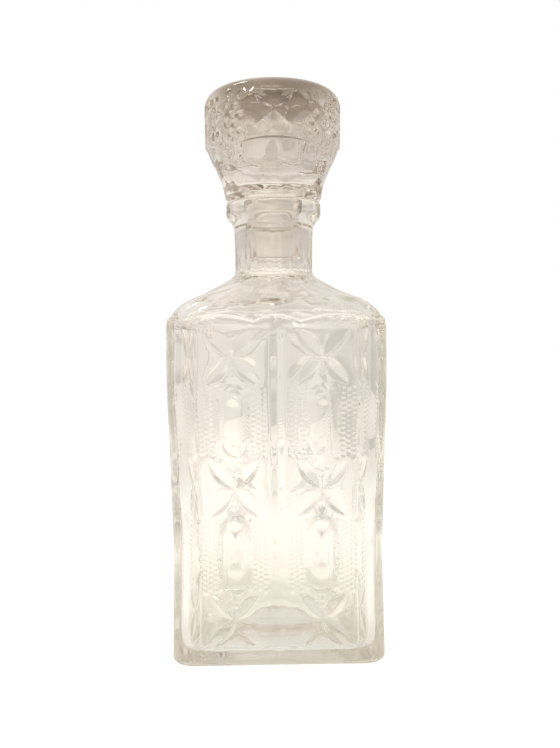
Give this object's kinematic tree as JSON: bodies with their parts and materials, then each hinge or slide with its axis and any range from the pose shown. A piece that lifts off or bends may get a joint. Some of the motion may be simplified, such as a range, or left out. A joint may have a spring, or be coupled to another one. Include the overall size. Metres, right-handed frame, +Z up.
{
  "type": "square glass bottle with stopper",
  "caption": "Square pressed-glass bottle with beaded panels, leaf crosses and oval lenses, a short lipped neck and a hollow domed glass stopper that lifts out.",
  "frame": {"origin": "centre of the foot, at the level that the bottle stands on", "axes": "+Z up along the bottle's axis, -Y out of the front face, +X to the right seen from the front"},
  "size_m": [0.0914, 0.0914, 0.2476],
  "materials": {
    "bottle_glass": "polished pressed glass, nearly colourless with a warm grey cast",
    "stopper_glass": "polished glass with a faint amethyst brown tint and small seeds"
  },
  "bodies": {
    "bottle": {"bottle": "bottle_glass"},
    "stopper": {"stopper": "stopper_glass"}
  },
  "joints": [
    {"name": "stopper_lift", "type": "slide", "parent": "bottle", "child": "stopper", "axis": [0, 0, 1], "range_m": [0, 0.06]}
  ]
}
